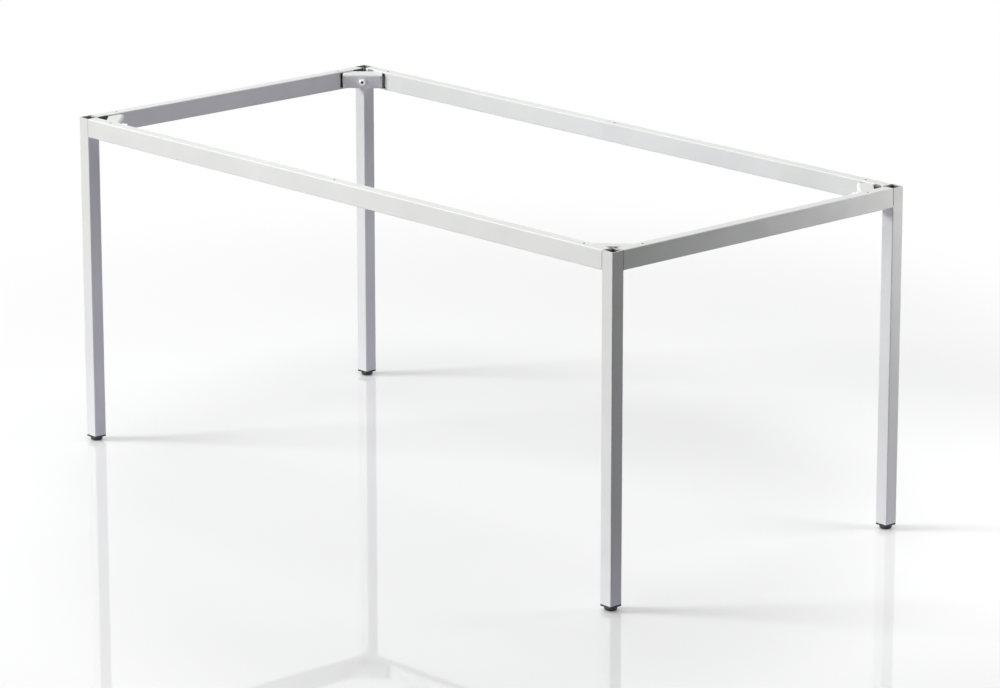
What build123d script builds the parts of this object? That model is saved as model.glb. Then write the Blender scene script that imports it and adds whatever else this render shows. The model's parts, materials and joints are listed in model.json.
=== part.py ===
from build123d import *
import os
from math import sqrt

# Table frame of square and rectangular steel tube. Four legs stand at the corners, and
# four rails butt against them, flush with the legs outside and on top. At each corner a
# folded bracket hooks into slots in the two rails, and one diagonal bolt pulls it, and
# the rails with it, against the leg. Each leg ends in a plug with a levelling foot.
#
# Sizes are in millimetres. The origin is on the floor under the middle of the frame,
# +X runs along the long rails, +Y from the front to the back, and +Z up.

# Driving dimensions: the frame
frame_length = 1645.0
frame_width = 815.0
frame_height = 720.0

# Driving dimensions: the tubes
leg_side = 30.0
leg_wall = 2.0
leg_radius = 2.0
rail_height = 40.0
rail_width = 25.0
rail_wall = 1.5
rail_radius = 2.0
rail_end_chamfer = 0.2
tube_least_radius = 0.5

# Driving dimensions: holes for the screws that hold a table top
screw_hole_diameter = 5.0
access_hole_diameter = 10.0
screw_hole_inset = 92.0

# Driving dimensions: the corner bracket
sheet = 2.5
bracket_width = 88.0
bracket_drop = 3.0
bracket_height = 32.0
fold_radius = 6.5
side_fold_radius = 5.0
tab_fold_radius = 4.0
flange_gap = 1.2
flange_corner_gap = 18.0
flange_corner_radius = 3.0
corner_relief = 1.5
side_stand_off = 13.0
tab_reach = 2.5
tab_stand_off = 0.5

# Driving dimensions: the slots in the rails
slot_width = 11.0
slot_height = 34.0
slot_radius = 1.5

# Driving dimensions: the corner fastening
bolt_diameter = 6.0
bolt_hole_diameter = 7.0
bolt_depth = 20.0
head_diameter = 12.5
head_height = 8.0
head_chamfer = 0.8
socket_flats = 6.0
socket_depth = 5.0
shank_chamfer = 0.8
washer_diameter = 15.0
washer_hole_diameter = 6.4
washer_thickness = 3.0
nut_leg = 20.0
nut_height = 18.0
nut_corner_chamfer = 1.5
thread_clearance = 0.05

# Driving dimensions: the foot
pad_diameter = 26.0
pad_height = 8.0
pad_bevel = 2.5
pad_top_chamfer = 0.8
pad_floor = 3.0
pad_clearance = 0.3
stud_diameter = 8.0
stud_clearance = 0.1
stud_chamfer = 0.8
plug_flange = 3.7
plug_depth = 24.0
plug_core_gap = 2.0
plug_corner_radius = 1.0
plug_fin_gap = 0.15
plug_fin = 1.6
plug_fin_count = 4
plug_bore_lead = 0.8

# The corners, each with its side along X and Y and the turn that brings a corner built
# at the front left to it
CORNERS = {
    "front_left": (-1, -1, 0),
    "front_right": (1, -1, 90),
    "back_right": (1, 1, 180),
    "back_left": (-1, 1, 270),
}

# Tools that cut through one wall of a rail reach this far to both sides of its face
rail_cut = 2 * rail_wall

# Heights
rail_bottom = frame_height - rail_height
bolt_z = frame_height - bolt_depth
plug_underside = pad_height + pad_clearance
leg_bottom = plug_underside + plug_flange

# Places along the diagonal of a corner, from the frame's outer corner inwards
diagonal_angle = 45
leg_corner_u = leg_side * sqrt(2)
rail_face_u = rail_width * sqrt(2)
flange_back_u = leg_corner_u + flange_corner_gap
half_width = bracket_width / 2
face_u = rail_face_u + half_width + side_stand_off

# The bracket's tabs stand square to the rails. Both values are measured from the outer
# corner of the frame, the first along the rail and the second across it.
tab_root_across = rail_width + tab_stand_off
tab_along = tab_root_across + (half_width - sheet / 2) * sqrt(2)
slot_start = tab_along - sheet / 2

# Heights of the bracket
bracket_top = frame_height - bracket_drop
bracket_bottom = bracket_top - bracket_height
fold_end = bracket_top - fold_radius


def at_corner(shape, corner):
    """Moves a shape from the front left corner to the named one."""
    side_x, side_y, turn = CORNERS[corner]
    place = Pos(side_x * frame_length / 2, side_y * frame_width / 2, 0)
    return place * Rot(0, 0, turn) * shape


def on_diagonal(shape):
    """Turns a shape that is built along X onto the corner's diagonal."""
    return Rot(0, 0, diagonal_angle) * shape


def drill(diameter, start, end):
    """Cylinder along the X axis from start to end, at the bolt's height."""
    axis = Plane(origin=(start, 0, bolt_z), z_dir=(1, 0, 0))
    return extrude(axis * Circle(diameter / 2), end - start)


def tube_section(width, height, wall, radius):
    """Section of a tube with rounded corners, centred on its middle."""
    inner_radius = max(radius - wall, tube_least_radius)
    outer = RectangleRounded(width, height, radius)
    return outer - RectangleRounded(width - 2 * wall, height - 2 * wall, inner_radius)


def leg():
    """Leg tube, open on top, with the bolt's hole in its inner corner."""
    middle = Pos(leg_side / 2, leg_side / 2, leg_bottom)
    section = tube_section(leg_side, leg_side, leg_wall, leg_radius)
    tube = extrude(middle * section, frame_height - leg_bottom)
    return tube - on_diagonal(drill(bolt_hole_diameter, leg_corner_u / 2, leg_corner_u))


def rail(span, has_middle_hole):
    """Rail for a side of the frame that measures span over the legs.

    It lies along X with its middle at X 0, its outer face at Y 0 and its inner face at
    Y rail_width.
    """
    length = span - 2 * leg_side
    middle = Plane(
        origin=(0, rail_width / 2, frame_height - rail_height / 2),
        x_dir=(0, 1, 0),
        z_dir=(1, 0, 0),
    )
    section = tube_section(rail_width, rail_height, rail_wall, rail_radius)
    tube = extrude(middle * section, length / 2, both=True)
    for end in (tube.faces().sort_by(Axis.X)[0], tube.faces().sort_by(Axis.X)[-1]):
        tube = chamfer(end.outer_wire().edges(), rail_end_chamfer)

    slot_middle = span / 2 - slot_start - slot_width / 2
    inner_face = Plane(
        origin=(0, rail_width, frame_height - rail_height / 2), x_dir=(1, 0, 0), z_dir=(0, 1, 0)
    )
    for side in (-1, 1):
        outline = RectangleRounded(slot_width, slot_height, slot_radius)
        slot = inner_face * Pos(side * slot_middle, 0) * outline
        tube -= extrude(slot, rail_cut, both=True)

    screw_hole = Cylinder(screw_hole_diameter / 2, 2 * rail_cut)
    access_hole = Cylinder(access_hole_diameter / 2, 2 * rail_cut)
    places = [-(span / 2 - screw_hole_inset), span / 2 - screw_hole_inset]
    if has_middle_hole:
        places.append(0.0)
    for x in places:
        tube -= Pos(x, rail_width / 2, frame_height) * screw_hole
        tube -= Pos(x, rail_width / 2, rail_bottom) * access_hole
    return tube


def bracket():
    """Corner bracket folded from sheet, built with its diagonal along X.

    The top flange lies between the rails and is cut off where it nears the leg. The face
    hangs from its front edge. The face's ends are folded back to the rails, and a tab on
    each goes through the rail's slot.
    """
    top_z = bracket_top - sheet / 2
    face_middle_u = face_u - sheet / 2

    def folded_strip(bottom, half_length):
        """Top flange and face down to bottom, with the fold between them."""
        path = FilletPolyline(
            (flange_back_u, top_z),
            (face_middle_u, top_z),
            (face_middle_u, bottom),
            radius=fold_radius - sheet / 2,
        )
        return extrude(Plane.XZ * trace(path, sheet), half_length, both=True)

    strip = folded_strip(fold_end, half_width)
    outline = flange_outline()
    strip &= Pos(0, 0, bracket_top - 2 * fold_radius) * extrude(outline, 3 * fold_radius)

    face = folded_strip(bracket_bottom, half_width - side_fold_radius)
    face &= Pos(face_u, 0, (bracket_bottom + fold_end) / 2) * Box(
        2 * sheet, bracket_width, fold_end - bracket_bottom
    )

    side_height = fold_end - corner_relief - bracket_bottom
    sides = Pos(0, 0, bracket_bottom) * extrude(trace(side_path(), sheet), side_height)
    hole = drill(bolt_hole_diameter, face_u - 2 * sheet, face_u + sheet)
    return strip + face + sides - hole


def flange_outline():
    """Outline of the bracket's top flange in plan, a gap clear of both rails."""
    taper = rail_face_u + flange_gap * sqrt(2)
    corners = [
        (flange_back_u, flange_back_u - taper),
        (half_width + taper, half_width),
        (face_u, half_width),
    ]
    mirrored = [(u, -v) for u, v in reversed(corners)]
    plate = make_face(Polyline(*corners, *mirrored, close=True))
    back_corners = plate.vertices().group_by(Axis.X)[0]
    return fillet(back_corners, flange_corner_radius)


def side_path():
    """Middle line of the face, its folded ends and the tabs, in plan."""
    face_middle_u = face_u - sheet / 2
    side_v = half_width - sheet / 2
    root_u = (tab_along + tab_root_across) / sqrt(2)
    length = tab_stand_off + rail_wall + tab_reach
    reach = length / sqrt(2)
    half = [(face_middle_u, side_v), (root_u, side_v), (root_u - reach, side_v + reach)]
    mirrored = [(u, -v) for u, v in reversed(half)]
    side_middle = side_fold_radius - sheet / 2
    tab_middle = tab_fold_radius - sheet / 2
    return FilletPolyline(
        *mirrored, *half, radius=[tab_middle, side_middle, side_middle, tab_middle]
    )


def bolt_plane(u):
    """Plane square to the bolt at a place along the diagonal, facing the frame's middle."""
    return Plane(origin=(u, 0, bolt_z), z_dir=(1, 0, 0))


def corner_bolt():
    """Hexagon socket bolt, from the bracket's face to the back of the nut block."""
    under_head = face_u + washer_thickness
    tip = (leg_side - leg_wall) * sqrt(2) - nut_leg / sqrt(2)
    head = extrude(bolt_plane(under_head) * Circle(head_diameter / 2), head_height)
    head = chamfer(head.faces().sort_by(Axis.X)[-1].edges(), head_chamfer)
    hexagon = RegularPolygon(socket_flats / 2, 6, major_radius=False)
    head -= extrude(bolt_plane(under_head + head_height) * hexagon, -socket_depth)
    shank = extrude(bolt_plane(tip) * Circle(bolt_diameter / 2), under_head - tip)
    shank = chamfer(shank.faces().sort_by(Axis.X)[0].edges(), shank_chamfer)
    return head + shank


def corner_washer():
    """Flat washer between the bolt's head and the bracket."""
    ring = Circle(washer_diameter / 2) - Circle(washer_hole_diameter / 2)
    return extrude(bolt_plane(face_u) * ring, washer_thickness)


def leg_nut():
    """Three-cornered threaded block in the inner corner of the leg tube."""
    corner = leg_side - leg_wall
    outline = make_face(
        Polyline(
            (corner - nut_leg, corner),
            (corner - nut_corner_chamfer, corner),
            (corner, corner - nut_corner_chamfer),
            (corner, corner - nut_leg),
            close=True,
        )
    )
    block = Pos(0, 0, bolt_z - nut_height / 2) * extrude(outline, nut_height)
    thread = drill(bolt_diameter + 2 * thread_clearance, 0, leg_corner_u)
    return block - on_diagonal(thread)


def foot_insert():
    """Square plug with a flange under the tube's end and fins that grip its inside."""
    inside = leg_side - 2 * leg_wall
    core = inside - 2 * plug_core_gap
    fin_side = inside - 2 * plug_fin_gap
    flange = Pos(0, 0, plug_underside) * extrude(
        RectangleRounded(leg_side, leg_side, leg_radius), plug_flange
    )
    core_outline = RectangleRounded(core, core, plug_corner_radius)
    fin_outline = RectangleRounded(fin_side, fin_side, plug_corner_radius)
    body = Pos(0, 0, leg_bottom) * extrude(core_outline, plug_depth)
    plug = flange + body
    pitch = plug_depth / (plug_fin_count + 1)
    for index in range(plug_fin_count):
        z = leg_bottom + (index + 1) * pitch - plug_fin / 2
        plug += Pos(0, 0, z) * extrude(fin_outline, plug_fin)
    bore = stud_diameter / 2 + stud_clearance
    plug -= Pos(0, 0, plug_underside) * extrude(Circle(bore), plug_flange + plug_depth)
    lead = Pos(0, 0, leg_bottom + plug_depth - plug_bore_lead / 2)
    plug -= lead * Cone(bore, bore + plug_bore_lead, plug_bore_lead)
    return Pos(leg_side / 2, leg_side / 2, 0) * plug


def foot_pad():
    """Round pad with a bevelled underside and a socket for the stud."""
    radius = pad_diameter / 2
    half_section = Polyline(
        (0, 0),
        (radius - pad_bevel, 0),
        (radius, pad_bevel),
        (radius, pad_height - pad_top_chamfer),
        (radius - pad_top_chamfer, pad_height),
        (0, pad_height),
        close=True,
    )
    pad = revolve(Plane.XZ * make_face(half_section), Axis.Z)
    socket = stud_diameter / 2 + thread_clearance
    pad -= Pos(0, 0, pad_floor) * extrude(Circle(socket), pad_height)
    return Pos(leg_side / 2, leg_side / 2, 0) * pad


def foot_stud():
    """Threaded stud that stands in the pad and climbs in the plug."""
    top = leg_bottom + plug_depth
    stud = Pos(0, 0, pad_floor) * extrude(Circle(stud_diameter / 2), top - pad_floor)
    stud = chamfer(stud.faces().sort_by(Axis.Z)[-1].edges(), stud_chamfer)
    return Pos(leg_side / 2, leg_side / 2, 0) * stud


def all_parts():
    """Every piece by its name, in its place."""
    parts = {}
    corner_pieces = {
        "leg": leg(),
        "bracket": on_diagonal(bracket()),
        "corner_bolt": on_diagonal(corner_bolt()),
        "corner_washer": on_diagonal(corner_washer()),
        "leg_nut": leg_nut(),
        "foot_insert": foot_insert(),
        "foot_pad": foot_pad(),
        "foot_stud": foot_stud(),
    }
    for corner in CORNERS:
        for name, shape in corner_pieces.items():
            parts[f"{name}_{corner}"] = at_corner(shape, corner)

    long_rail = rail(frame_length, has_middle_hole=True)
    short_rail = rail(frame_width, has_middle_hole=False)
    parts["rail_front"] = Pos(0, -frame_width / 2, 0) * long_rail
    parts["rail_back"] = Pos(0, frame_width / 2, 0) * Rot(0, 0, 180) * long_rail
    parts["rail_left"] = Pos(-frame_length / 2, 0, 0) * Rot(0, 0, -90) * short_rail
    parts["rail_right"] = Pos(frame_length / 2, 0, 0) * Rot(0, 0, 90) * short_rail
    return parts


os.makedirs("parts", exist_ok=True)
for node, shape in all_parts().items():
    export_step(shape, f"parts/{node}.step")
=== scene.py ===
"""Looks of a table frame of coated steel tube: finishes, fastenings, feet, studio and camera."""

import json
import logging
import math
from dataclasses import dataclass, field
from enum import Enum
from functools import cached_property

import bmesh
import bpy
from mathutils import Matrix, Vector

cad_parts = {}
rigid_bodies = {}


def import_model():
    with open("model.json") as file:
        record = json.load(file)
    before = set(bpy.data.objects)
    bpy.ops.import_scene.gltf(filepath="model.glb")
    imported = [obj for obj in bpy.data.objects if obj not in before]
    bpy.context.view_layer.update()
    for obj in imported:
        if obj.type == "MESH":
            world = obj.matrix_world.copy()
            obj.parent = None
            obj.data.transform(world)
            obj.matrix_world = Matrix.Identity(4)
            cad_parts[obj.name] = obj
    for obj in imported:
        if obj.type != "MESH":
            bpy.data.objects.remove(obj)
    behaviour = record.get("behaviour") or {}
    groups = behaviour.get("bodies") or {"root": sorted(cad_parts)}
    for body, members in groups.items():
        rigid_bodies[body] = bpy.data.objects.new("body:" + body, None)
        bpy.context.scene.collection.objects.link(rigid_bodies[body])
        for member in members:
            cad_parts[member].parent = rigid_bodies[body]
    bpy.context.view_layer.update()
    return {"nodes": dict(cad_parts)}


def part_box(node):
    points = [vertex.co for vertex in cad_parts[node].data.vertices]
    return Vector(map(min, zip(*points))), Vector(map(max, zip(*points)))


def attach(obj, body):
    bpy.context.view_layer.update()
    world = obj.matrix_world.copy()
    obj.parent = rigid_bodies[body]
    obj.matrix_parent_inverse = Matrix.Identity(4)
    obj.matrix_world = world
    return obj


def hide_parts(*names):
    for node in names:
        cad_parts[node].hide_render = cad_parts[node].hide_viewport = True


LOG = logging.getLogger("table_frame")
MM = 0.001
LEG_WALL = 2 * MM

Colour = tuple[float, float, float]
Point = tuple[float, float]
BLACK: Colour = (0.0, 0.0, 0.0)
WHITE: Colour = (1.0, 1.0, 1.0)


class Slot(Enum):
    """Material slots of the record."""

    SILVER_COAT = "silver_coat"
    ZINC = "zinc"
    BLACK_PLASTIC = "black_plastic"


class Corner(Enum):
    """Corners of the frame: side along X, side along Y and turn in degrees."""

    FRONT_LEFT = (-1, -1, 0)
    FRONT_RIGHT = (1, -1, 90)
    BACK_RIGHT = (1, 1, 180)
    BACK_LEFT = (-1, 1, 270)

    @property
    def label(self) -> str:
        """Ending of the names of the pieces at this corner."""
        return self.name.lower()

    @property
    def foot_body(self) -> str:
        """Body that the foot at this corner rides on."""
        return f"foot_{self.label}"


class Graph:
    """Nodes of one material or the world, with patterns that follow the piece's coordinates."""

    def __init__(self, name: str, world: bool = False) -> None:
        """Starts an empty material, or empty surroundings.

        Args:
            name: name of the material or the world.
            world: whether it is the world.
        """
        self.owner = bpy.data.worlds.new(name) if world else bpy.data.materials.new(name)
        self.owner.use_nodes = True
        self.tree = self.owner.node_tree
        self.tree.nodes.clear()
        self.output = self.node("ShaderNodeOutputWorld" if world else "ShaderNodeOutputMaterial")

    @cached_property
    def coordinates(self) -> bpy.types.NodeSocket:
        """The piece's own coordinates."""
        return self.node("ShaderNodeTexCoord").outputs["Object"]

    @cached_property
    def axes(self) -> list[bpy.types.NodeSocket]:
        """The piece's own coordinates one by one: X, Y and Z."""
        added = self.node("ShaderNodeSeparateXYZ")
        self.feed(added.inputs[0], self.coordinates)
        return list(added.outputs)

    def node(self, kind: str, **settings: object) -> bpy.types.Node:
        """Adds a node.

        Args:
            kind: type of the node.
            **settings: properties of the node.

        Returns:
            The new node.
        """
        added = self.tree.nodes.new(kind)
        for name, value in settings.items():
            setattr(added, name, value)
        return added

    def feed(self, socket: bpy.types.NodeSocket, value: object) -> None:
        """Gives a socket a value, or links it to another socket.

        Args:
            socket: input that takes the value.
            value: number, vector, colour or output socket.
        """
        if isinstance(value, bpy.types.NodeSocket):
            self.tree.links.new(value, socket)
        elif socket.type == "RGBA":
            socket.default_value = (*value, 1)
        else:
            socket.default_value = value

    def maths(self, operation: str, *values: object, clamp: bool = False) -> bpy.types.NodeSocket:
        """Adds a Math node.

        Args:
            operation: what it works out.
            *values: its inputs in order.
            clamp: whether the result stays from 0 to 1.

        Returns:
            The result.
        """
        added = self.node("ShaderNodeMath", operation=operation, use_clamp=clamp)
        for socket, value in zip(added.inputs, values):
            self.feed(socket, value)
        return added.outputs[0]

    def above(self, value: bpy.types.NodeSocket, level: float) -> bpy.types.NodeSocket:
        """Gives 1 where a value is above a level, and 0 elsewhere."""
        return self.maths("GREATER_THAN", value, level)

    def below(self, value: bpy.types.NodeSocket, level: float) -> bpy.types.NodeSocket:
        """Gives 1 where a value is below a level, and 0 elsewhere."""
        return self.maths("LESS_THAN", value, level)

    def every(self, *shares: object) -> bpy.types.NodeSocket:
        """Multiplies shares, which gives 1 only where all of them are 1."""
        result, *others = shares
        for share in others:
            result = self.maths("MULTIPLY", result, share)
        return result

    def either(self, *shares: object) -> bpy.types.NodeSocket:
        """Adds shares up, to 1 at most."""
        result, *others = shares
        for share in others:
            result = self.maths("ADD", result, share, clamp=True)
        return result

    def away_from(self, axis: bpy.types.NodeSocket, place: float) -> bpy.types.NodeSocket:
        """Works out how far a point lies from the nearer of two planes.

        Args:
            axis: coordinate that the planes are square to.
            place: distance of both planes from the frame's middle.

        Returns:
            The distance.
        """
        return self.maths("ABSOLUTE", self.maths("SUBTRACT", self.maths("ABSOLUTE", axis), place))

    def noise(self, grain: float, detail: float = 2.0,
              stretch: Colour = (1, 1, 1)) -> bpy.types.NodeSocket:
        """Adds a noise pattern.

        Args:
            grain: size of its features in metres.
            detail: how much finer noise it holds.
            stretch: how many times finer it is along each axis.

        Returns:
            The pattern, from 0 to 1.
        """
        place = self.node("ShaderNodeMapping")
        self.feed(place.inputs["Scale"], stretch)
        self.feed(place.inputs["Vector"], self.coordinates)
        added = self.node("ShaderNodeTexNoise")
        self.feed(added.inputs["Scale"], 1 / grain)
        self.feed(added.inputs["Detail"], detail)
        self.feed(added.inputs["Vector"], place.outputs["Vector"])
        return added.outputs["Fac"]

    def spread(self, pattern: bpy.types.NodeSocket, low: float, high: float,
               start: float = 0.3, end: float = 0.7) -> bpy.types.NodeSocket:
        """Spreads a pattern over a range of values.

        Args:
            pattern: the pattern.
            low: value at its start.
            high: value at its end.
            start: where in the pattern the range starts.
            end: where in the pattern the range ends.

        Returns:
            The value.
        """
        added = self.node("ShaderNodeMapRange")
        for name, value in (("Value", pattern), ("From Min", start), ("From Max", end),
                            ("To Min", low), ("To Max", high)):
            self.feed(added.inputs[name], value)
        return added.outputs["Result"]

    def length(self, vector: bpy.types.NodeSocket) -> bpy.types.NodeSocket:
        """Works out a vector's length."""
        added = self.node("ShaderNodeVectorMath", operation="LENGTH")
        self.feed(added.inputs[0], vector)
        return added.outputs["Value"]

    def fade(self, value: bpy.types.NodeSocket, start: float, end: float) -> bpy.types.NodeSocket:
        """Adds a smooth step.

        Args:
            value: what it follows.
            start: value where it leaves 0.
            end: value where it reaches 1.

        Returns:
            The step, from 0 to 1.
        """
        added = self.node("ShaderNodeMapRange", interpolation_type="SMOOTHSTEP")
        for name, given in (("Value", value), ("From Min", start), ("From Max", end)):
            self.feed(added.inputs[name], given)
        return added.outputs["Result"]

    def mix(self, share: object, first: object, second: object) -> bpy.types.NodeSocket:
        """Mixes two colours.

        Args:
            share: share of the second.
            first: first colour.
            second: second colour.

        Returns:
            The mixed colour.
        """
        added = self.node("ShaderNodeMix", data_type="RGBA")
        sockets = {socket.identifier: socket for socket in added.inputs}
        for name, value in (("Factor_Float", share), ("A_Color", first), ("B_Color", second)):
            self.feed(sockets[name], value)
        return next(socket for socket in added.outputs if socket.identifier == "Result_Color")

    def bump(self, height: bpy.types.NodeSocket, depth: float, strength: float,
             normal: bpy.types.NodeSocket | None = None) -> bpy.types.NodeSocket:
        """Turns a pattern into relief.

        Args:
            height: the pattern.
            depth: height of the relief in metres.
            strength: how strongly it shows.
            normal: relief that this one lies on.

        Returns:
            The surface direction.
        """
        added = self.node("ShaderNodeBump")
        for name, value in (("Strength", strength), ("Distance", depth), ("Height", height)):
            self.feed(added.inputs[name], value)
        if normal:
            self.feed(added.inputs["Normal"], normal)
        return added.outputs["Normal"]

    def shader(self, kind: str, **values: object) -> bpy.types.NodeSocket:
        """Adds a shader or Fresnel node by the names of its inputs.

        Args:
            kind: type of the node.
            **values: its inputs, with _ for a space in their names.

        Returns:
            Its result.
        """
        added = self.node(kind)
        for name, value in values.items():
            self.feed(added.inputs[name.replace("_", " ")], value)
        return added.outputs[0]

    def joined(self, kind: str, *values: object) -> bpy.types.NodeSocket:
        """Adds a node that joins two shaders.

        Args:
            kind: type of the node.
            *values: its inputs in order.

        Returns:
            The joined shader.
        """
        added = self.node(kind)
        for socket, value in zip(added.inputs, values):
            self.feed(socket, value)
        return added.outputs[0]

    def finish(self, shader: bpy.types.NodeSocket) -> bpy.types.Material | bpy.types.World:
        """Puts a shader on the surface.

        Args:
            shader: the shader.

        Returns:
            The finished material or world.
        """
        self.feed(self.output.inputs["Surface"], shader)
        return self.owner

    def surface(self, **values: object) -> bpy.types.Material:
        """Finishes the material with a Principled shader.

        Args:
            **values: inputs of the shader, with _ for a space in their names.

        Returns:
            The material.
        """
        return self.finish(self.shader("ShaderNodeBsdfPrincipled", **values))


@dataclass(frozen=True)
class SilverCoat:
    """Silver powder coat with fine flakes and orange peel.

    It is bare steel in the leg tubes, shade is painted on the walls of the screw holes, and painted
    shade darkens the joints and the corner pockets: its share in the grooves is given at the long
    rails' ends and at the short rails' ends.
    joint_bottom, hole_wall and coat_end are heights above the floor.
    """

    title: str = "coat"
    colour: Colour = (0.80, 0.81, 0.80)
    flake: Colour = (0.86, 0.87, 0.865)
    shadow: Colour = (0.74, 0.75, 0.745)
    # dark bare steel inside the leg tubes, also used as painted shade on the walls of the screw
    # holes
    bare_steel: Colour = (0.055, 0.052, 0.05)
    # colour of the painted shade in the joint grooves and the corner pockets behind the brackets
    dust: Colour = (0.10, 0.095, 0.09)
    metal: float = 0.04
    roughness: tuple[float, float] = (0.54, 0.62)
    lacquer: float = 0.02
    lacquer_roughness: float = 0.25
    rough_grain: float = 30 * MM
    peel_grain: float = 1.6 * MM
    peel_depth: float = 0.06 * MM
    peel_strength: float = 0.35
    flake_grain: float = 0.22 * MM
    flake_depth: float = 0.01 * MM
    flake_strength: float = 0.25
    flake_edge: tuple[float, float] = (0.4, 0.62)
    cloud_grain: float = 140 * MM
    cloud_edge: tuple[float, float] = (0.35, 0.65)
    cloud_share: float = 0.5

    leg_half: float = 15 * MM
    rail_width: float = 25 * MM
    groove_width: float = 1.6 * MM
    groove_depth: float = 0.08 * MM
    # shares of the painted shade in the grooves at the long rails' ends and at the short rails'
    # ends
    groove_dust: tuple[float, float] = (0.5, 1.0)
    face_margin: float = 0.5 * MM
    rail_margin: float = 0.2 * MM
    joint_bottom: float = 0.685

    pocket_reach: float = 45 * MM
    pocket_margin: float = 0.6 * MM
    short_rail_margin: float = 2.5 * MM
    bracket_end: float = 26 * MM
    # share of the painted shade on the long rails behind the brackets
    long_rail_dust: float = 0.7

    hole_reach: float = 2.7 * MM
    hole_wall: tuple[float, float] = (0.7186, 0.71985)

    tube_margin: float = 0.3 * MM
    edge_grain: float = 4 * MM
    edge_waver: float = 1.2 * MM
    coat_end: tuple[float, float] = (0.7145, 0.7195)

    def material(self, tube_middle: tuple[float, float] = (0, 0), tube_inside: float = 0,
                 hole_rows: tuple[float, ...] = ()) -> bpy.types.Material:
        """Makes the finish.

        Args:
            tube_middle: distance of the legs' middles from the frame's middle, along X and Y.
            tube_inside: inner width of the leg tubes.
            hole_rows: distance of the rails' screw holes from the frame's middle, along X and Y.

        Returns:
            The material.
        """
        graph = Graph(f"{Slot.SILVER_COAT.value}_{self.title}")
        flakes = graph.spread(graph.noise(self.flake_grain, 3), 0, 1, *self.flake_edge)
        clouds = graph.spread(graph.noise(self.cloud_grain, 3), 0, self.cloud_share,
                              *self.cloud_edge)
        tone = graph.mix(clouds, graph.mix(flakes, self.colour, self.flake), self.shadow)
        rough = graph.spread(graph.noise(self.rough_grain, 4), *self.roughness)
        if tube_inside:
            tone = graph.mix(self.inside(graph, tube_middle, tube_inside), tone, self.bare_steel)
            # painted shade in the grooves beside the rails' ends and on the legs' inner edges
            # behind the brackets
            tone = graph.mix(self.joint(graph, tube_middle), tone, self.dust)
        if hole_rows:
            # painted shade on the walls of the screw holes
            tone = graph.mix(self.punched(graph, hole_rows), tone, self.bare_steel)
            # painted shade on the rails' inner faces in the corner pockets behind the brackets
            tone = graph.mix(self.pocket(graph, hole_rows), tone, self.dust)
        peel = graph.bump(graph.noise(self.peel_grain, 1.5), self.peel_depth,
                          self.peel_strength)
        grain = graph.bump(graph.noise(self.flake_grain, 1), self.flake_depth,
                           self.flake_strength, peel)
        return graph.surface(Base_Color=tone, Metallic=self.metal, Roughness=rough, Normal=grain,
                             Coat_Weight=self.lacquer, Coat_Roughness=self.lacquer_roughness)

    def joint(self, graph: Graph, middle: tuple[float, float]) -> bpy.types.NodeSocket:
        """Works out where shade is painted on a leg, beside the rails' ends and behind the bracket.

        Args:
            graph: the material's nodes.
            middle: distance of the legs' middles from the frame's middle, along X and Y.

        Returns:
            The painted shade's share.
        """
        *level, height = graph.axes
        out = [graph.maths("ABSOLUTE", axis) for axis in level]
        parts = []
        for end, side, dust in ((0, 1, self.groove_dust[0]), (1, 0, self.groove_dust[1])):
            face, outside = middle[end] - self.leg_half, middle[side] + self.leg_half
            rail = outside - self.rail_width + self.rail_margin
            parts += [
                graph.every(graph.below(out[end], face + self.groove_width),
                            graph.above(out[side], rail),
                            graph.below(out[side], outside - self.groove_depth), dust),
                graph.every(graph.below(out[end], face + self.face_margin),
                            graph.below(out[side], rail)),
            ]
        return graph.every(graph.either(*parts), graph.above(height, self.joint_bottom))

    def pocket(self, graph: Graph, rows: tuple[float, ...]) -> bpy.types.NodeSocket:
        """Works out where shade is painted on the rails' inner faces behind the brackets.

        Args:
            graph: the material's nodes.
            rows: distance of the rails' middles from the frame's middle, along X and Y.

        Returns:
            The painted shade's share.
        """
        out = [graph.maths("ABSOLUTE", axis) for axis in graph.axes[:2]]
        half = self.rail_width / 2
        near = [graph.above(way, row - self.pocket_reach) for way, row in zip(out, rows)]
        inner = [graph.below(way, row - half + self.pocket_margin) for way, row in zip(out, rows)]
        short_rail = graph.above(out[0], rows[0] - half - self.short_rail_margin)
        long_rail = graph.below(out[0], rows[0] - self.bracket_end)
        dust = graph.either(short_rail, graph.every(long_rail, self.long_rail_dust))
        return graph.every(*near, *inner, dust)

    def punched(self, graph: Graph, rows: tuple[float, ...]) -> bpy.types.NodeSocket:
        """Works out where shade is painted on the wall of a screw hole in a rail's top.

        Args:
            graph: the material's nodes.
            rows: distance of the rows of holes from the frame's middle, along X and Y.

        Returns:
            1 on the holes' walls and 0 elsewhere.
        """
        *level, height = graph.axes
        bottom, top = self.hole_wall
        in_row = [graph.below(graph.away_from(axis, row), self.hole_reach)
                  for axis, row in zip(level, rows)]
        return graph.every(graph.either(*in_row), graph.above(height, bottom),
                           graph.below(height, top))

    def inside(self, graph: Graph, middle: tuple[float, float],
               width: float) -> bpy.types.NodeSocket:
        """Works out where the surface lies inside a leg tube, past the coat that reaches in.

        Args:
            graph: the material's nodes.
            middle: distance of the legs' middles from the frame's middle, along X and Y.
            width: inner width of the tubes.

        Returns:
            The bare steel's share.
        """
        *level, height = graph.axes
        within = [graph.below(graph.away_from(axis, place), width / 2 + self.tube_margin)
                  for axis, place in zip(level, middle)]
        waver = graph.spread(graph.noise(self.edge_grain, 3),
                             -self.edge_waver, self.edge_waver, 0, 1)
        bare = graph.spread(graph.maths("ADD", height, waver), 1, 0, *self.coat_end)
        return graph.every(*within, bare)


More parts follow.
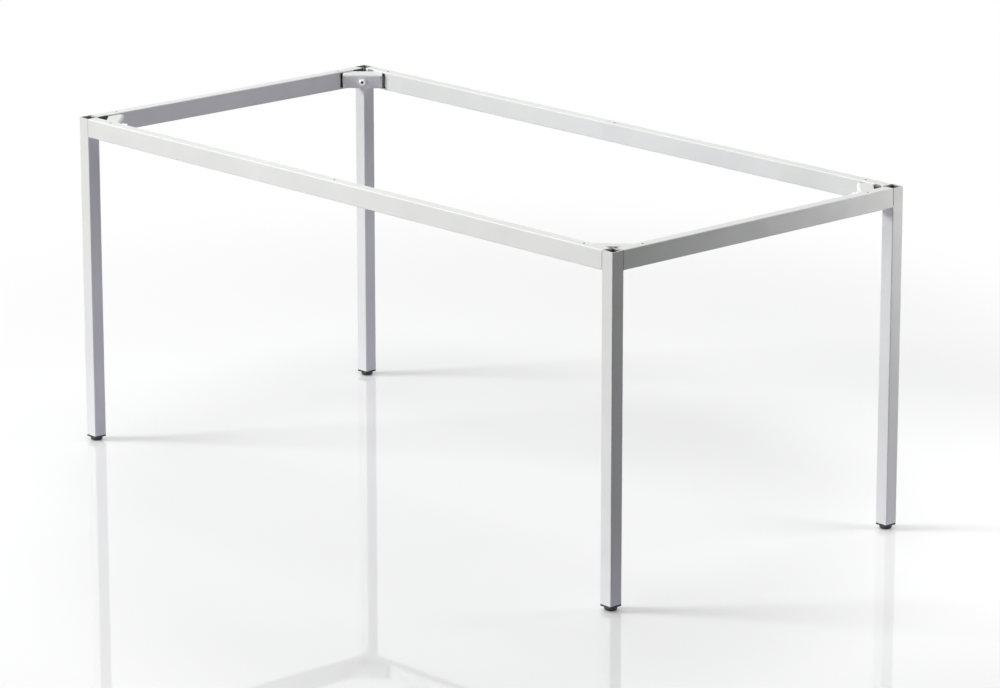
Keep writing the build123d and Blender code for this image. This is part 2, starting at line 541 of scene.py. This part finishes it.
@dataclass(frozen=True)
class BrightZinc:
    """Bright zinc plate on the fastenings, with fine grain and a faint blue and straw tint."""

    colour: Colour = (0.74, 0.75, 0.76)
    blue: Colour = (0.66, 0.70, 0.76)
    straw: Colour = (0.76, 0.73, 0.66)
    roughness: tuple[float, float] = (0.2, 0.42)
    tint_grain: float = 6 * MM
    patch_grain: float = 1.1 * MM
    patch_share: tuple[float, float] = (0.15, 0.7)
    rough_grain: float = 0.9 * MM
    plate_grain: float = 0.35 * MM
    plate_depth: float = 0.015 * MM
    plate_strength: float = 0.3

    def material(self) -> bpy.types.Material:
        """Makes the finish."""
        graph = Graph(Slot.ZINC.value + "_finish")
        tint = graph.mix(graph.spread(graph.noise(self.tint_grain), 0, 1), self.blue, self.straw)
        patches = graph.spread(graph.noise(self.patch_grain, 4), *self.patch_share)
        tone = graph.mix(patches, self.colour, tint)
        rough = graph.spread(graph.noise(self.rough_grain, 4), *self.roughness)
        grain = graph.bump(graph.noise(self.plate_grain), self.plate_depth,
                           self.plate_strength)
        return graph.surface(Base_Color=tone, Metallic=1.0, Roughness=rough, Normal=grain)


@dataclass(frozen=True)
class SocketGrease:
    """Painted shade in the hexagon sockets of the bolts, near black with lighter smears."""

    # near-black colour of the painted shade in the sockets, with a lighter tone for the smears
    colour: Colour = (0.018, 0.017, 0.016)
    thin: Colour = (0.07, 0.068, 0.065)
    roughness: tuple[float, float] = (0.35, 0.6)
    smear_grain: float = 0.8 * MM
    smear_edge: tuple[float, float] = (0.45, 0.7)
    lump_grain: float = 0.4 * MM
    lump_depth: float = 0.03 * MM
    lump_strength: float = 0.5

    def material(self) -> bpy.types.Material:
        """Makes the finish."""
        graph = Graph("socket_grease")
        smears = graph.spread(graph.noise(self.smear_grain, 4), 0, 1, *self.smear_edge)
        lumps = graph.bump(graph.noise(self.lump_grain, 3), self.lump_depth,
                           self.lump_strength)
        return graph.surface(Base_Color=graph.mix(smears, self.colour, self.thin),
                             Roughness=graph.spread(smears, *self.roughness, 0, 1), Normal=lumps)


@dataclass(frozen=True)
class BlackPlastic:
    """Black moulded plastic of the feet, with an eroded mould texture and grey scuffs."""

    colour: Colour = (0.02, 0.02, 0.022)
    scuff: Colour = (0.06, 0.06, 0.062)
    roughness: tuple[float, float] = (0.42, 0.6)
    shine: float = 0.45
    scuff_grain: float = 5 * MM
    scuff_stretch: Colour = (1, 1, 2.5)
    scuff_edge: tuple[float, float] = (0.56, 0.74)
    rough_grain: float = 1.5 * MM
    mould_grain: float = 0.4 * MM
    mould_depth: float = 0.04 * MM
    mould_strength: float = 0.5

    def material(self) -> bpy.types.Material:
        """Makes the finish."""
        graph = Graph(Slot.BLACK_PLASTIC.value + "_finish")
        scratches = graph.noise(self.scuff_grain, 6, self.scuff_stretch)
        scuffs = graph.spread(scratches, 0, 1, *self.scuff_edge)
        rough = graph.spread(graph.noise(self.rough_grain, 3), *self.roughness)
        texture = graph.bump(graph.noise(self.mould_grain), self.mould_depth,
                             self.mould_strength)
        return graph.surface(Base_Color=graph.mix(scuffs, self.colour, self.scuff), Roughness=rough,
                             Normal=texture, Specular_IOR_Level=self.shine)


@dataclass(frozen=True)
class PolishedFloor:
    """Pale polished floor that mirrors the legs and fades to white away from the frame.

    Its tone follows an oval pool round the frame: pool_edge is where the pool brightens and
    white_edge where it turns to plain white, both as shares of the oval's half sizes.
    """

    shade: Colour = (0.858, 0.86, 0.872)
    glow: float = 0.13
    edge_glow: float = 0.11
    bounce: Colour = (0.505, 0.476, 0.656)
    far_bounce: Colour = (0.03, 0.028, 0.038)
    bounce_reach: tuple[float, float] = (0.9, 1.32)
    middle: tuple[float, float] = (0.17, -0.185)
    turn: float = 47.2
    half_sizes: tuple[float, float] = (1.0, 1.5)
    pool_edge: tuple[float, float] = (0.65, 1.05)
    white_edge: tuple[float, float] = (1.0, 2.0)
    gloss: float = 0.025
    ior: float = 1.5

    def material(self) -> bpy.types.Material:
        """Makes the finish.

        Rays that show the floor see its tone with the frame's shadow on it, and the others
        see a darker floor, so that it throws little light up at the frame.
        """
        graph = Graph("polished_floor")
        distant = graph.fade(graph.length(graph.coordinates), *self.bounce_reach)
        dim = graph.shader("ShaderNodeBsdfDiffuse",
                           Color=graph.mix(distant, self.bounce, self.far_bounce))
        choice = graph.joined("ShaderNodeMixShader", showing_rays(graph), dim, self.shown(graph))
        return graph.finish(choice)

    def shown(self, graph: Graph) -> bpy.types.NodeSocket:
        """Makes the floor as it is seen.

        Args:
            graph: the material's nodes.

        Returns:
            Its shader.
        """
        pool = graph.node("ShaderNodeMapping", vector_type="TEXTURE")
        for name, value in (("Vector", graph.coordinates), ("Location", (*self.middle, 0)),
                            ("Rotation", (0, 0, math.radians(self.turn))),
                            ("Scale", (*self.half_sizes, 1))):
            graph.feed(pool.inputs[name], value)
        away = graph.length(pool.outputs["Vector"])
        edge, far = (graph.fade(away, *reach) for reach in (self.pool_edge, self.white_edge))
        pooled = graph.mix(edge, (self.glow,) * 3, (self.glow + self.edge_glow,) * 3)
        lit = graph.shader("ShaderNodeBsdfDiffuse", Color=graph.mix(far, self.shade, BLACK))
        glow = graph.shader("ShaderNodeEmission", Color=graph.mix(far, pooled, WHITE))
        mirror = graph.shader("ShaderNodeBsdfGlossy", Color=WHITE, Roughness=self.gloss)
        fresnel = graph.shader("ShaderNodeFresnel", IOR=self.ior)
        share = graph.every(fresnel, graph.maths("SUBTRACT", 1.0, far))
        ground = graph.joined("ShaderNodeAddShader", lit, glow)
        return graph.joined("ShaderNodeMixShader", share, ground, mirror)


def showing_rays(graph: Graph) -> bpy.types.NodeSocket:
    """Works out whether a ray shows the background: from the camera, a gloss or glass.

    Args:
        graph: nodes of the floor or the world.

    Returns:
        1 for such a ray and 0 for others.
    """
    path = graph.node("ShaderNodeLightPath")
    kinds = ("Camera", "Glossy", "Transmission")
    return graph.either(*(path.outputs[f"Is {kind} Ray"] for kind in kinds))


def turned(corner: Corner, along_diagonal: bool = False) -> Matrix:
    """Works out the place of a piece that is drawn at the front left corner.

    Args:
        corner: the corner that the piece belongs to.
        along_diagonal: whether its X axis lies on the corner's diagonal.

    Returns:
        The place as a matrix.
    """
    low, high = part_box(f"leg_{corner.label}")
    side_x, side_y, turn = corner.value
    outer = Vector((high.x if side_x > 0 else low.x, high.y if side_y > 0 else low.y, 0))
    return Matrix.Translation(outer) @ Matrix.Rotation(
        math.radians(turn + (45 if along_diagonal else 0)), 4, "Z")


def on_diagonal(node: str, place: Matrix) -> tuple[float, float, float, float]:
    """Reads where a round CAD node lies on the diagonal of its corner.

    Args:
        node: name of the node.
        place: place of its corner, with the X axis on the diagonal.

    Returns:
        Its inner and outer ends along the diagonal, its height above the floor and its radius.
    """
    back = place.inverted()
    along = [(back @ vert.co).x for vert in bpy.data.objects[node].data.vertices]
    low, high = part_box(node)
    return min(along), max(along), (low.z + high.z) / 2, (high.z - low.z) / 2


def lying(start: float, height: float) -> Matrix:
    """Lays a shape that is drawn upright along the X axis.

    Args:
        start: where its lower end comes along that axis.
        height: height above the floor.

    Returns:
        The place as a matrix.
    """
    return Matrix.Translation((start, 0, height)) @ Matrix.Rotation(math.pi / 2, 4, "Y")


def upright(node: str) -> Matrix:
    """Works out the place of a shape that stands where a round CAD node stands.

    Args:
        node: name of the node.

    Returns:
        The place as a matrix.
    """
    low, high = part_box(node)
    return Matrix.Translation(((low.x + high.x) / 2, (low.y + high.y) / 2, low.z))


def spun(outline: list[Point], steps: int) -> bmesh.types.BMesh:
    """Spins an outline of radius and height round the Z axis.

    Args:
        outline: points of the outline, which ends on the axis or where it starts.
        steps: steps of the whole turn.

    Returns:
        The closed shape.
    """
    shape = bmesh.new()
    points = [shape.verts.new((radius, 0, height)) for radius, height in outline]
    edges = [shape.edges.new(pair) for pair in zip(points, points[1:])]
    bmesh.ops.spin(shape, geom=points + edges, cent=(0, 0, 0), axis=(0, 0, 1), dvec=(0, 0, 0),
                   angle=math.tau, steps=steps, use_merge=True, use_duplicate=False)
    bmesh.ops.remove_doubles(shape, verts=shape.verts[:], dist=1e-7)
    bmesh.ops.recalc_face_normals(shape, faces=shape.faces[:])
    return shape


def rounded(outline: list[Point], radius: float, steps: int = 4) -> list[Point]:
    """Rounds the inner corners of an open outline.

    Args:
        outline: points of the outline.
        radius: radius at each corner, less where an edge is short.
        steps: steps of each arc.

    Returns:
        The rounded outline.
    """
    most = 0.45
    result = [outline[0]]
    for before, here, after in zip(outline, outline[1:], outline[2:]):
        corner, back, ahead = (Vector(point) for point in (here, before, after))
        reach = min(radius, (back - corner).length * most, (ahead - corner).length * most)
        start = corner + (back - corner).normalized() * reach
        end = corner + (ahead - corner).normalized() * reach
        for step in range(steps + 1):
            share = step / steps
            first, second = start.lerp(corner, share), corner.lerp(end, share)
            result.append(tuple(first.lerp(second, share)))
    result.append(outline[-1])
    return result


@dataclass(frozen=True)
class ScrewThread:
    """Screw thread with a plain end on both sides: its flanks are shares of the pitch."""

    radius: float
    pitch: float
    depth: float = 0.61
    crest: tuple[float, float] = (0.44, 0.56)
    root: tuple[float, float] = (0.12, 0.88)
    plain_end: float = 0.3
    steps: int = 28

    def cut(self, start: float, turns: int) -> bmesh.types.BMesh:
        """Cuts the thread round the Z axis.

        Args:
            start: height of its lower end.
            turns: number of whole turns.

        Returns:
            The closed thread.
        """
        core = self.radius - self.depth * self.pitch
        shape = bmesh.new()
        flank = [(core, 0), (core, self.root[0]), (self.radius, self.crest[0]),
                 (self.radius, self.crest[1]), (core, self.root[1]), (core, 1)]
        points = [shape.verts.new((across, 0, start + share * self.pitch))
                  for across, share in flank]
        edges = [shape.edges.new(pair) for pair in zip(points, points[1:])]
        bmesh.ops.spin(shape, geom=points + edges, cent=(0, 0, 0), axis=(0, 0, 1),
                       dvec=(0, 0, self.pitch / self.steps), angle=math.tau * turns,
                       steps=self.steps * turns, use_merge=False, use_duplicate=False)
        bmesh.ops.remove_doubles(shape, verts=shape.verts[:], dist=1e-6)
        top = start + self.pitch * (turns + 1)
        half = (start + top) / 2
        plain = self.plain_end * self.pitch
        for side, level in ((-1, start - plain), (1, top + plain)):
            rim = [edge for edge in shape.edges if edge.is_boundary
                   and all((vert.co.z - half) * side > 0 for vert in edge.verts)]
            made = bmesh.ops.extrude_edge_only(shape, edges=rim)["geom"]
            collar = [item for item in made if isinstance(item, bmesh.types.BMVert)]
            for vert in collar:
                across = Vector((vert.co.x, vert.co.y)).normalized() * core
                vert.co = (across.x, across.y, level)
            bmesh.ops.remove_doubles(shape, verts=collar, dist=1e-5)
        bmesh.ops.dissolve_degenerate(shape, edges=shape.edges[:], dist=1e-6)
        bmesh.ops.holes_fill(shape, edges=[edge for edge in shape.edges if edge.is_boundary])
        bmesh.ops.recalc_face_normals(shape, faces=shape.faces[:])
        return shape


def joined(*shapes: bmesh.types.BMesh) -> bmesh.types.BMesh:
    """Puts several shapes into one.

    Args:
        *shapes: the shapes, which are freed.

    Returns:
        One shape that holds them all.
    """
    whole = bmesh.new()
    for shape in shapes:
        carrier = bpy.data.meshes.new("carrier")
        shape.to_mesh(carrier)
        shape.free()
        whole.from_mesh(carrier)
        bpy.data.meshes.remove(carrier)
    return whole


def piece(name: str, shape: bmesh.types.BMesh, place: Matrix, materials: list[bpy.types.Material],
          body: str, instead_of: str, crease: float = 32) -> bpy.types.Object:
    """Makes a piece of the scene that stands for a CAD node.

    Args:
        name: name of the piece.
        shape: its shape, drawn at the front left corner.
        place: where it goes.
        materials: its finishes, by the index of its faces.
        body: the body that it rides on.
        instead_of: the CAD node that it replaces.
        crease: angle in degrees past which an edge stays sharp.

    Returns:
        The piece.
    """
    shape.transform(place)
    mesh = bpy.data.meshes.new(name)
    shape.to_mesh(mesh)
    shape.free()
    for face in mesh.polygons:
        face.use_smooth = True
    mesh.set_sharp_from_angle(angle=math.radians(crease))
    for material in materials:
        mesh.materials.append(material)
    made = bpy.data.objects.new(name, mesh)
    bpy.context.scene.collection.objects.link(made)
    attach(made, body)
    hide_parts(instead_of)
    LOG.info("%s stands for %s: %d faces, on %s", name, instead_of, len(mesh.polygons), body)
    return made


@dataclass
class CornerBolts:
    """Socket head bolts on the diagonals, with a knurled head, a hexagon socket and a thread."""

    head_radius: float = 6.25 * MM
    head_height: float = 8.0 * MM
    socket_flats: float = 6.0 * MM
    socket_depth: float = 5.0 * MM
    socket_chamfer: float = 0.25 * MM
    drill_tip: float = 0.7 * MM
    shank_radius: float = 3.0 * MM
    pitch: float = 1.0 * MM
    threaded_turns: int = 27
    taper_share: float = 0.6
    knurls: int = 48
    knurl_depth: float = 0.16 * MM
    head_insets: tuple[Point, ...] = ((0.7 * MM, 0), (0.1 * MM, 0.3 * MM), (0, 0.7 * MM),
                                      (0, -1.1 * MM), (0.2 * MM, -0.5 * MM), (0.8 * MM, 0))
    knurled_rings: tuple[int, int] = (2, 3)

    def head(self) -> bmesh.types.BMesh:
        """Makes the head, with its seat at height 0 and its socket facing up.

        The first three of head_insets rise from the seat and the others lie below the top. Each
        says how far the ring is in from the head's radius, and its height.
        """
        shape = bmesh.new()
        count = self.knurls * 2
        top, flat = self.head_height, self.socket_flats / 2
        rings: list[list[bmesh.types.BMVert]] = []
        for index, (inset, level) in enumerate(self.head_insets):
            radius = self.head_radius - inset
            height = level if index < len(self.head_insets) / 2 else top + level
            made = self.circle(shape, count, radius, height)
            if index in self.knurled_rings:
                inward = (radius - self.knurl_depth) / radius
                bmesh.ops.scale(shape, vec=(inward, inward, 1), verts=made[::2])
            rings.append(made)
        mouth = self.hexagon(shape, count, flat + self.socket_chamfer, top)
        lip = self.hexagon(shape, count, flat, top - self.socket_chamfer)
        floor = self.hexagon(shape, count, flat, top - self.socket_depth)
        rings += [mouth, lip, floor]
        for lower, upper in zip(rings, rings[1:]):
            self.bridge(shape, lower, upper)
        tip, seat = (bmesh.ops.create_vert(shape, co=(0, 0, height))["vert"][0]
                     for height in (top - self.socket_depth - self.drill_tip, 0))
        for centre, ring in ((tip, floor), (seat, rings[0])):
            for first, second in zip(ring, ring[1:] + ring[:1]):
                shape.faces.new((centre, first, second))
        bmesh.ops.recalc_face_normals(shape, faces=shape.faces[:])
        # the socket's walls and floor take the second finish, a painted shade
        inner = set(lip + floor + [tip])
        for face in shape.faces:
            face.material_index = int(all(vert in inner for vert in face.verts))
        return shape

    def circle(self, shape: bmesh.types.BMesh, count: int, radius: float,
               height: float) -> list[bmesh.types.BMVert]:
        """Draws a ring of points.

        Args:
            shape: where it is drawn.
            count: number of points.
            radius: radius of the ring.
            height: height of the ring.

        Returns:
            The points in order.
        """
        return bmesh.ops.create_circle(shape, cap_ends=False, segments=count, radius=radius,
                                       matrix=Matrix.Translation((0, 0, height)))["verts"]

    def hexagon(self, shape: bmesh.types.BMesh, count: int, flat: float,
                height: float) -> list[bmesh.types.BMVert]:
        """Draws a ring of points on a hexagon.

        Args:
            shape: where it is drawn.
            count: number of points.
            flat: distance from the middle to a side.
            height: height of the ring.

        Returns:
            The points in order.
        """
        ring = self.circle(shape, count, flat, height)
        for point in ring:
            angle = math.atan2(point.co.y, point.co.x) % (math.pi / 3) - math.pi / 6
            across = Vector((point.co.x, point.co.y)).normalized() * flat / math.cos(angle)
            point.co = (across.x, across.y, height)
        return ring

    def bridge(self, shape: bmesh.types.BMesh, lower: list[bmesh.types.BMVert],
               upper: list[bmesh.types.BMVert]) -> None:
        """Closes the wall between two rings of the head.

        Args:
            shape: the head.
            lower: first ring.
            upper: second ring.
        """
        edges = [edge for ring in (lower, upper) for edge in {
            shape.edges.get(pair) for pair in zip(ring, ring[1:] + ring[:1])} if edge]
        bmesh.ops.bridge_loops(shape, edges=edges)

    def shank(self, start: float, end: float) -> bmesh.types.BMesh:
        """Makes the plain shank between the thread and the head.

        Args:
            start: height of its lower end.
            end: height of the underside of the head.

        Returns:
            The shank, which reaches a little into the head.
        """
        chamfer, rise, overlap = 0.45 * MM, 0.6 * MM, 0.1 * MM
        radius, sides = self.shank_radius, 32
        return spun([(0, start), (radius - chamfer, start), (radius, start + rise),
                     (radius, end + overlap), (0, end + overlap)], sides)

    def build(self, zinc: bpy.types.Material, socket_shade_finish: bpy.types.Material) -> None:
        """Makes the four bolts.

        Args:
            zinc: finish of the bolts.
            socket_shade_finish: painted shade inside their sockets.
        """
        taper = self.taper_share * self.pitch
        plain_start = self.pitch * (self.threaded_turns + 1) + taper
        cut = ScrewThread(self.shank_radius, self.pitch).cut(taper, self.threaded_turns)
        for corner in Corner:
            node = f"corner_bolt_{corner.label}"
            place = turned(corner, along_diagonal=True)
            start, end, height, _ = on_diagonal(node, place)
            length = end - self.head_height - start
            head = self.head()
            head.transform(Matrix.Translation((0, 0, length)))
            piece(f"{node}_piece", joined(cut.copy(), self.shank(plain_start, length), head),
                  place @ lying(start, height), [zinc, socket_shade_finish], "frame", node)
        cut.free()


@dataclass
class CornerWashers:
    """Thick washers under the bolt heads, turned, with rounded edges and a fine lead."""

    bore_radius: float = 3.2 * MM
    edge_radius: float = 0.45 * MM
    sides: int = 64

    def build(self, material: bpy.types.Material) -> None:
        """Makes the four washers.

        Args:
            material: their finish.
        """
        for corner in Corner:
            node = f"corner_washer_{corner.label}"
            place = turned(corner, along_diagonal=True)
            start, end, height, radius = on_diagonal(node, place)
            bore, thick = self.bore_radius, end - start
            outline = rounded([(bore, thick / 2), (bore, 0), (radius, 0), (radius, thick),
                               (bore, thick), (bore, thick / 2)], self.edge_radius)
            piece(f"{node}_piece", spun(outline, self.sides), place @ lying(start, height),
                  [material], "frame", node)


@dataclass
class LevellingFeet:
    """Round pads with a moulded rim, each on a threaded stud."""

    bevel: float = 2.5 * MM
    rim_radius: float = 0.7 * MM
    rim_inset: float = 0.8 * MM
    sides: int = 72
    parting_share: float = 0.62
    parting_line: float = 0.12 * MM
    draft: tuple[float, float, float] = (0.08 * MM, 0.05 * MM, 0.1 * MM)
    recess_depth: float = 0.5 * MM
    recess_shares: tuple[float, float] = (0.42, 0.46)
    stud_radius: float = 4.0 * MM
    socket_radius: float = 4.05 * MM
    socket_chamfer: float = 0.3 * MM
    socket_floor: float = 3.0 * MM
    pitch: float = 1.25 * MM

    def build(self, plastic: bpy.types.Material, zinc: bpy.types.Material) -> None:
        """Makes the four pads and studs.

        Args:
            plastic: finish of the pads.
            zinc: finish of the studs.
        """
        low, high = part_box(f"foot_stud_{Corner.FRONT_LEFT.label}")
        length = high.z - low.z
        turns = int(length / self.pitch) - 2
        thread = ScrewThread(self.stud_radius, self.pitch)
        cut = thread.cut((length - (turns + 1) * self.pitch) / 2, turns)
        for corner in Corner:
            pad, stud = (f"{kind}_{corner.label}" for kind in ("foot_pad", "foot_stud"))
            piece(f"{pad}_piece", self.pad(pad), upright(pad), [plastic],
                  corner.foot_body, pad, crease=40)
            piece(f"{stud}_piece", cut.copy(), upright(stud), [zinc],
                  corner.foot_body, stud)
        cut.free()

    def pad(self, node: str) -> bmesh.types.BMesh:
        """Makes one pad, with a hollow underneath, a bevel, a parting line and the stud's socket.

        Args:
            node: the CAD node that it is as large as.

        Returns:
            The pad, from height 0 up.
        """
        low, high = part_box(node)
        radius, height = (high.x - low.x) / 2, high.z - low.z
        hollow, rim = (radius * share for share in self.recess_shares)
        parting, line = height * self.parting_share, self.parting_line
        lower, middle, upper = (radius - inset for inset in self.draft)
        outline = [(0, self.recess_depth), (hollow, self.recess_depth), (rim, 0),
                   (radius - self.bevel, 0), (lower, self.bevel), (middle, parting - line),
                   (radius, parting), (middle, parting + line),
                   (upper, height - self.rim_inset), (radius - self.rim_inset, height),
                   (self.socket_radius + self.socket_chamfer, height),
                   (self.socket_radius, height - self.socket_chamfer),
                   (self.socket_radius, self.socket_floor), (0, self.socket_floor)]
        return spun(rounded(outline, self.rim_radius, 3), self.sides)


@dataclass
class CarriedNodes:
    """CAD nodes that keep their shape and get a finish by their slot or the start of their name."""

    finishes: dict[Slot, bpy.types.Material] = field(default_factory=dict)
    by_name: dict[str, bpy.types.Material] = field(default_factory=dict)

    def dress(self, nodes: dict[str, bpy.types.Object]) -> None:
        """Gives each node the finish of its slot.

        Args:
            nodes: the CAD nodes by name.
        """
        for name, node in sorted(nodes.items()):
            own = [finish for start, finish in self.by_name.items() if name.startswith(start)]
            for place in node.material_slots:
                place.material = own[0] if own else self.finishes[Slot(place.material.name)]
            LOG.info("%s carries %s", name, node.material_slots[0].material.name)


@dataclass(frozen=True)
class SoftBox:
    """Large soft lamp of the studio."""

    name: str
    place: tuple[float, float, float]
    aim: tuple[float, float, float]
    width: float
    height: float
    watts: float
    colour: Colour = (1.0, 1.0, 1.0)

    def hang(self) -> bpy.types.Object:
        """Hangs the lamp and returns it."""
        lamp = bpy.data.lights.new(self.name, "AREA")
        lamp.shape = "RECTANGLE"
        lamp.size, lamp.size_y = self.width, self.height
        lamp.energy = self.watts
        lamp.color = self.colour
        made = bpy.data.objects.new(self.name, lamp)
        made.visible_camera = False
        made.location = self.place
        way = Vector(self.aim) - Vector(self.place)
        made.rotation_euler = way.to_track_quat("-Z", "Y").to_euler()
        bpy.context.scene.collection.objects.link(made)
        return made


@dataclass
class Studio:
    """Pale floor, white surroundings and soft lamps, most of their light from the front left."""

    floor_radius: float = 30.0
    floor_sides: int = 96
    surroundings: float = 0.02
    lamps: tuple[SoftBox, ...] = (
        SoftBox("overhead", (-0.35, -0.1, 5.0), (0, 0, 0.4), 3.2, 3.0, 132),
        SoftBox("key", (-7.6, -8.2, 6.0), (0, 0, 0.4), 4.0, 2.6, 1020, (1.0, 1.0, 0.97)),
        SoftBox("front", (-0.5, -8.0, 0.9), (0, 0, 0.3), 4.0, 1.4, 195, (1.0, 1.0, 0.97)),
        SoftBox("back_right", (1.5, 1.05, 0.68), (0.82, 0.35, 0.6), 0.6, 0.6, 6.7,
                (1.0, 0.995, 0.985)),
    )

    def build(self) -> None:
        """Lays the floor, lights the world and hangs the lamps."""
        shape = bmesh.new()
        bmesh.ops.create_circle(shape, cap_ends=True, segments=self.floor_sides,
                                radius=self.floor_radius)
        mesh = bpy.data.meshes.new("floor")
        shape.to_mesh(mesh)
        shape.free()
        mesh.materials.append(PolishedFloor().material())
        floor = bpy.data.objects.new("floor", mesh)
        bpy.context.scene.collection.objects.link(floor)
        self.surround()
        for lamp in self.lamps:
            lamp.hang()
            LOG.info("%s lamp: %.0f W", lamp.name, lamp.watts)

    def surround(self) -> None:
        """Makes the world white where it shows, and dim where it only lights."""
        graph = Graph("surroundings", world=True)
        level = graph.spread(showing_rays(graph), self.surroundings, 1, 0, 1)
        bpy.context.scene.world = graph.finish(
            graph.shader("ShaderNodeBackground", Color=WHITE, Strength=level))


@dataclass(frozen=True)
class Viewpoint:
    """The photograph's camera, looking down at the frame's front right corner from afar."""

    target: tuple[float, float, float] = (0.041198, 0.023517, 0.307041)
    azimuth: float = 47.231
    elevation: float = 15.085
    roll: float = -0.023
    distance: float = 9.90328
    lens: float = 169.819
    sensor: float = 36.0
    sight: float = 100.0

    def build(self) -> None:
        """Places the camera."""
        turn, rise = math.radians(self.azimuth), math.radians(self.elevation)
        back = Vector((math.sin(turn) * math.cos(rise), -math.cos(turn) * math.cos(rise),
                       math.sin(rise)))
        camera = bpy.data.cameras.new("camera")
        camera.sensor_width = self.sensor
        camera.lens = self.lens
        camera.clip_end = self.sight
        made = bpy.data.objects.new("camera", camera)
        look = (-back).to_track_quat("-Z", "Y").to_matrix().to_4x4()
        tilt = Matrix.Rotation(math.radians(self.roll), 4, "Z")
        place = Matrix.Translation(Vector(self.target) + back * self.distance)
        made.matrix_world = place @ look @ tilt
        bpy.context.scene.collection.objects.link(made)
        bpy.context.scene.camera = made


def main() -> None:
    """Loads the frame, dresses it and sets up the studio."""
    logging.basicConfig(level=logging.INFO, format="%(name)s: %(message)s")
    for leftover in list(bpy.data.objects):
        bpy.data.objects.remove(leftover)
    bpy.context.scene.view_settings.view_transform = "Standard"
    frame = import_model()

    low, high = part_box("leg_back_right")
    leg_middle = ((low.x + high.x) / 2, (low.y + high.y) / 2)
    leg_inside = high.x - low.x - 2 * LEG_WALL
    coat = SilverCoat("sheet_coat", metal=0.02, lacquer=0.0).material()
    leg_coat = SilverCoat("leg_coat").material(leg_middle, leg_inside)
    side_low, side_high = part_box("rail_right")
    back_low, back_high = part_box("rail_back")
    hole_rows = ((side_low.x + side_high.x) / 2, (back_low.y + back_high.y) / 2)
    rail_coat = SilverCoat("rail_coat", metal=0.06).material(hole_rows=hole_rows)
    zinc = BrightZinc().material()
    plastic = BlackPlastic().material()
    CarriedNodes({Slot.SILVER_COAT: coat, Slot.ZINC: zinc, Slot.BLACK_PLASTIC: plastic},
                 {"leg_nut_": zinc, "leg_": leg_coat, "rail_": rail_coat}).dress(frame["nodes"])
    # the bolts' sockets get a painted shade
    CornerBolts().build(zinc, SocketGrease().material())
    CornerWashers().build(zinc)
    LevellingFeet().build(plastic, zinc)
    Studio().build()
    Viewpoint().build()


if __name__ == "__main__":
    main()
